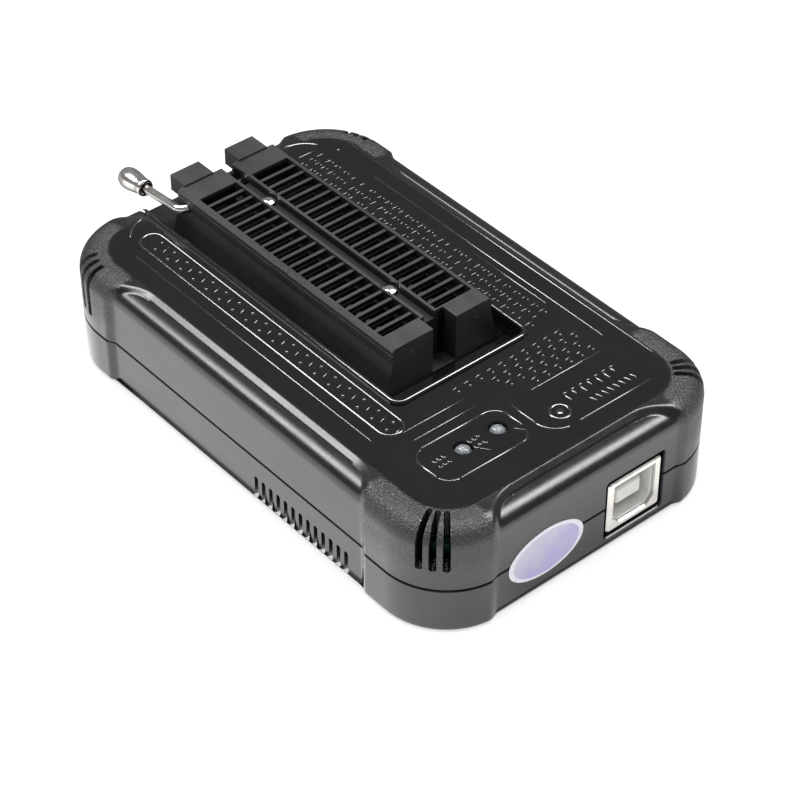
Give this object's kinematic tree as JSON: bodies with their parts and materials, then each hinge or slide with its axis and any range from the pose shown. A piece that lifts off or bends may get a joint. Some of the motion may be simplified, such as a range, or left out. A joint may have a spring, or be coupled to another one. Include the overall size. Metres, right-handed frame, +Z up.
{
  "type": "usb microcontroller programmer",
  "caption": "Palm-sized bench programmer: black lobed case, zero-insertion-force socket with a locking lever on top, square USB port in front.",
  "frame": {"origin": "on the case's flat underside, on its centre line and 51.5 mm behind the front end; the four rubber feet stand 0.4 mm below it", "axes": "+Z up, +Y along the case from the USB end to the lever end, -X the side the lever is on"},
  "size_m": [0.066, 0.1112, 0.0284],
  "materials": {
    "case_shell": "black moulded ABS, fine spark grain on the lobes and top, satin on the side panels",
    "socket_shell": "charcoal glass-filled plastic, satin",
    "polished_steel": "polished bright plating",
    "screw_steel": "dull zinc plating",
    "nickel_plate": "satin nickel plating",
    "contact_gold": "thin gold flash",
    "board_green": "solder-mask gloss",
    "chip_black": "moulded epoxy",
    "port_white": "off-white nylon",
    "foot_rubber": "matt rubber",
    "label_film": "glossy lavender film with a pale rim",
    "led_lens": "water-clear epoxy",
    "capacitor_sleeve": "shrink sleeve"
  },
  "bodies": {
    "case": {"lower_shell": "case_shell", "upper_shell": "case_shell", "zif_cover": "socket_shell", "zif_base": "socket_shell", "zif_rivet_front": "polished_steel", "zif_rivet_rear": "polished_steel", "case_screw_front_left": "screw_steel", "case_screw_front_right": "screw_steel", "case_screw_rear_left": "screw_steel", "case_screw_rear_right": "screw_steel", "usb_shell": "nickel_plate", "crystal": "nickel_plate", "zif_contacts_left": "contact_gold", "zif_contacts_right": "contact_gold", "usb_contact_1": "contact_gold", "usb_contact_2": "contact_gold", "usb_contact_3": "contact_gold", "usb_contact_4": "contact_gold", "main_board": "board_green", "microcontroller": "chip_black", "vpp_inductor": "chip_black", "pin_driver_1": "chip_black", "pin_driver_2": "chip_black", "pin_driver_3": "chip_black", "pin_driver_4": "chip_black", "usb_insulator": "port_white", "rubber_foot_front_left": "foot_rubber", "rubber_foot_front_right": "foot_rubber", "rubber_foot_rear_left": "foot_rubber", "rubber_foot_rear_right": "foot_rubber", "front_label": "label_film", "led_power": "led_lens", "led_run": "led_lens", "input_capacitor": "capacitor_sleeve", "vpp_capacitor": "capacitor_sleeve"},
    "slider": {"zif_slider": "socket_shell"},
    "lever": {"lever_rod": "polished_steel", "lever_knob": "polished_steel"}
  },
  "joints": [
    {"name": "lever_hinge", "type": "hinge", "parent": "case", "child": "lever", "pos_m": [0, 0.0418, 0.025], "axis": [1, 0, 0], "range_deg": [0, 90]},
    {"name": "slider_slide", "type": "slide", "parent": "case", "child": "slider", "axis": [0, 1, 0], "range_m": [0, 0.0007]}
  ],
  "couplings": [
    {"joint": "slider_slide", "follows": "lever_hinge", "m_per_rad": 0.000445}
  ]
}
